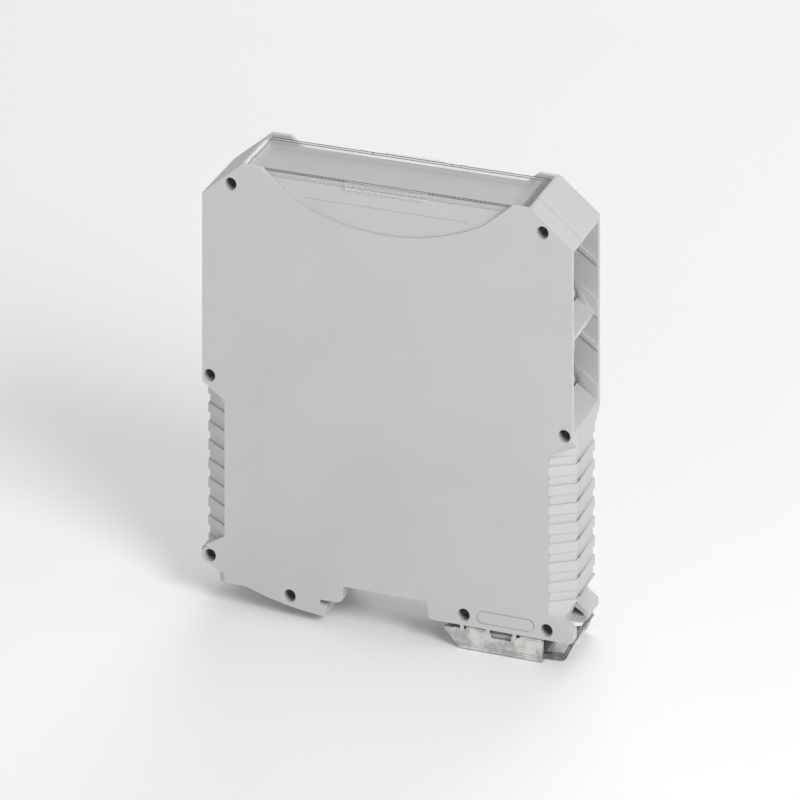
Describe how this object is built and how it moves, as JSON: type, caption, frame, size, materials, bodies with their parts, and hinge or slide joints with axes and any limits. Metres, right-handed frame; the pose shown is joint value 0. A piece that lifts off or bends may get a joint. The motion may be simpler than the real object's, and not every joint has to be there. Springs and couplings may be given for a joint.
{
  "type": "din rail enclosure",
  "caption": "Slim grey plastic electronics housing for a top-hat rail, with a clear hinged front cover, open connector pockets and a sliding metal foot catch.",
  "frame": {"origin": "on the rail's bearing plane, at the middle of the rail and of the housing's width", "axes": "+X along the housing's height, across the rail, towards the sliding catch; +Y across the housing's width, along the rail; +Z out from the rail to the front cover"},
  "size_m": [0.0996, 0.0226, 0.1125],
  "materials": {
    "shell_grey": "fine moulded satin",
    "plate_grey": "smooth satin",
    "clear_cover": "clear, polished",
    "marker_white": "smooth satin",
    "catch_steel": "bright zinc-plated sheet with darker cut edges"
  },
  "bodies": {
    "housing": {"near_shell": "shell_grey", "far_shell": "shell_grey", "front_plate": "plate_grey", "marker_strip": "marker_white"},
    "cover": {"front_cover": "clear_cover"},
    "catch": {"foot_catch": "catch_steel"}
  },
  "joints": [
    {"name": "cover_hinge", "type": "hinge", "parent": "housing", "child": "cover", "pos_m": [0.0369, 0, 0.10485], "axis": [0, 1, 0], "range_deg": [0, 90]},
    {"name": "catch_slide", "type": "slide", "parent": "housing", "child": "catch", "axis": [1, 0, 0], "range_m": [0, 0.0035], "stiffness_N_per_m": 3000, "springref_m": -0.002}
  ]
}
